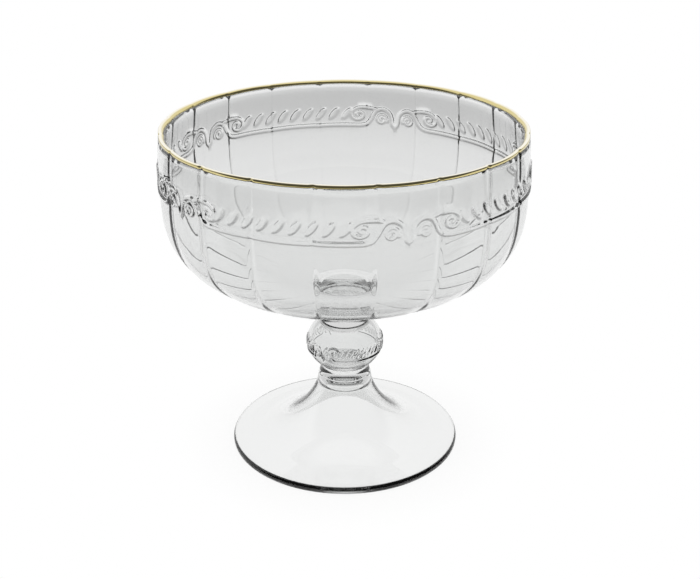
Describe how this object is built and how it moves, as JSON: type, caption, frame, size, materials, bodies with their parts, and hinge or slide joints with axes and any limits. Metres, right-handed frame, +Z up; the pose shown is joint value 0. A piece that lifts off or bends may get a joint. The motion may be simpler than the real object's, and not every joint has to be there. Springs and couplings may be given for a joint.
{
  "type": "dessert bowl",
  "caption": "Footed clear-glass dessert bowl with a lobed wall, a gilded lip, a ball knop stem and a flared round foot.",
  "frame": {"origin": "centre of the plane that the foot rests on", "axes": "+Z up along the stem's axis, from the foot to the mouth of the bowl; -Y faces the viewer"},
  "size_m": [0.125, 0.125, 0.119],
  "materials": {
    "clear_glass": "fire polished, clear",
    "gold": "polished fired gilding"
  },
  "bodies": {
    "root": {"bowl": "clear_glass", "rim_gilding": "gold", "bowl_collar": "clear_glass", "stem_knop": "clear_glass", "foot_collar": "clear_glass", "foot": "clear_glass"}
  },
  "joints": []
}
